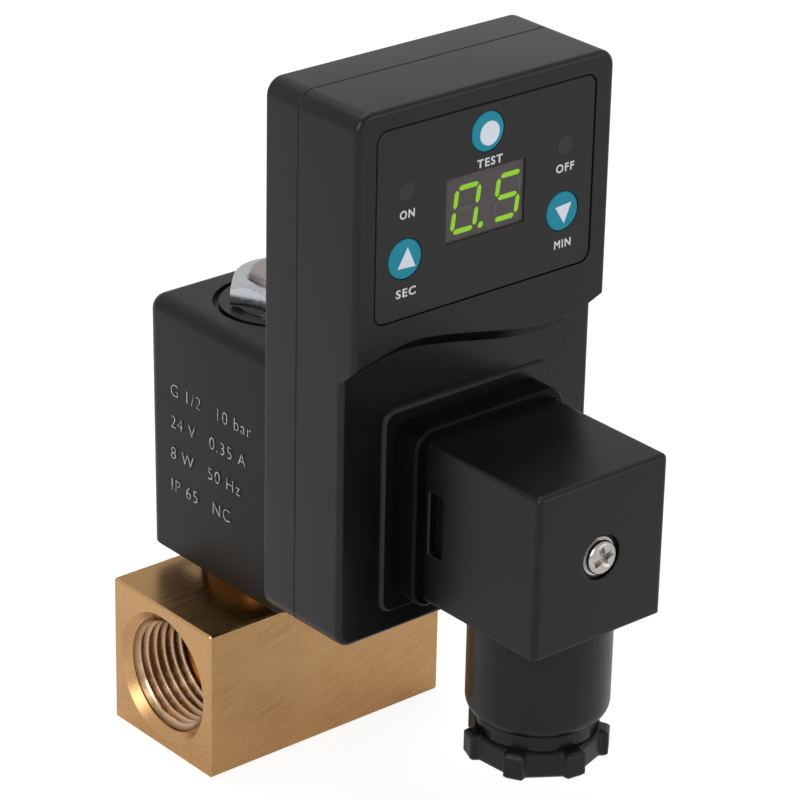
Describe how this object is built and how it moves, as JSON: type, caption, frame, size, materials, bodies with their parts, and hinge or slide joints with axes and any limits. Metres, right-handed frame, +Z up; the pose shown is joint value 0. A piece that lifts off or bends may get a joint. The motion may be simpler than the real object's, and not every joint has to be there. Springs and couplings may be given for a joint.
{
  "type": "automatic drain valve",
  "caption": "Timer-controlled solenoid drain valve: brass two-way body with threaded ports, moulded coil, clip-on timer with keypad and display, and square cable plug with gland.",
  "frame": {"origin": "centre of the brass block's bottom face, under the axis of the armature tube", "axes": "+Z up along the armature tube, +X along the flow towards the outlet port, -Y towards the timer's panel and the cable plug"},
  "size_m": [0.0536, 0.1005, 0.1342],
  "materials": {
    "brass": "machined",
    "seal_rubber": "matt",
    "gasket_rubber": "matt",
    "stainless": "turned",
    "copper": "enamelled wire",
    "zinc_plate": "zinc plated",
    "tinned_brass": "tinned",
    "coil_resin": "moulded resin",
    "inner_nylon": "moulded",
    "timer_plastic": "fine moulded texture",
    "keypad_film": "satin film",
    "smoked_window": "smoked",
    "circuit_board": "solder mask",
    "display_face": "display",
    "switch_plastic": "moulded",
    "led_lens": "clear lens",
    "chip_epoxy": "epoxy",
    "capacitor_sleeve": "shrink sleeve",
    "plug_plastic": "moulded nylon",
    "key_teal": "satin print"
  },
  "bodies": {
    "valve": {"valve_body": "brass", "body_o_ring": "seal_rubber", "tube_flange": "brass", "armature_tube": "stainless", "fixed_core": "stainless", "shading_ring": "copper", "coil_washer": "zinc_plate", "coil_nut": "zinc_plate", "plunger_spring": "stainless"},
    "plunger": {"plunger": "stainless", "plunger_seal": "seal_rubber"},
    "head": {"coil_case": "coil_resin", "yoke_frame": "zinc_plate", "coil_bobbin": "inner_nylon", "coil_winding": "copper", "coil_terminals": "tinned_brass", "coil_insert": "brass", "coil_gasket": "gasket_rubber", "timer_rear_housing": "timer_plastic", "timer_front_housing": "timer_plastic", "timer_screws": "zinc_plate", "keypad_membrane": "keypad_film", "display_window": "smoked_window", "control_board": "circuit_board", "display_module": "display_face", "tact_switches": "switch_plastic", "indicator_leds": "led_lens", "controller_chip": "chip_epoxy", "capacitor": "capacitor_sleeve", "triac": "chip_epoxy", "rear_sockets": "tinned_brass", "front_blades": "tinned_brass", "plug_gasket": "gasket_rubber", "plug_housing": "plug_plastic", "plug_insert": "inner_nylon", "plug_contacts": "tinned_brass", "terminal_screws": "zinc_plate", "plug_screw": "zinc_plate", "plug_screw_washer": "zinc_plate", "gland_seal": "seal_rubber"},
    "test_button": {"test_button": "key_teal"},
    "sec_button": {"sec_button": "key_teal"},
    "min_button": {"min_button": "key_teal"},
    "gland_washer": {"gland_washer": "zinc_plate"},
    "gland_nut": {"gland_nut": "plug_plastic"}
  },
  "joints": [
    {"name": "head_swivel", "type": "hinge", "parent": "valve", "child": "head", "pos_m": [0, 0, 0.055], "axis": [0, 0, 1], "continuous": true},
    {"name": "plunger_lift", "type": "slide", "parent": "valve", "child": "plunger", "axis": [0, 0, 1], "range_m": [0, 0.0019], "stiffness_N_per_m": 300, "springref_m": -0.005, "deforming": ["plunger_spring"]},
    {"name": "test_press", "type": "slide", "parent": "head", "child": "test_button", "axis": [0, 1, 0], "range_m": [0, 0.0004], "stiffness_N_per_m": 1500, "springref_m": -0.0003},
    {"name": "sec_press", "type": "slide", "parent": "head", "child": "sec_button", "axis": [0, 1, 0], "range_m": [0, 0.0004], "stiffness_N_per_m": 1500, "springref_m": -0.0003},
    {"name": "min_press", "type": "slide", "parent": "head", "child": "min_button", "axis": [0, 1, 0], "range_m": [0, 0.0004], "stiffness_N_per_m": 1500, "springref_m": -0.0003},
    {"name": "gland_feed", "type": "slide", "parent": "head", "child": "gland_washer", "axis": [0, 0, -1], "range_m": [0, 0.0015]},
    {"name": "gland_turn", "type": "hinge", "parent": "gland_washer", "child": "gland_nut", "pos_m": [0, -0.06862, 0.025], "axis": [0, 0, -1], "range_deg": [0, 360]}
  ],
  "couplings": [
    {"joint": "gland_turn", "follows": "gland_feed", "rad_per_m": 4188.8}
  ]
}
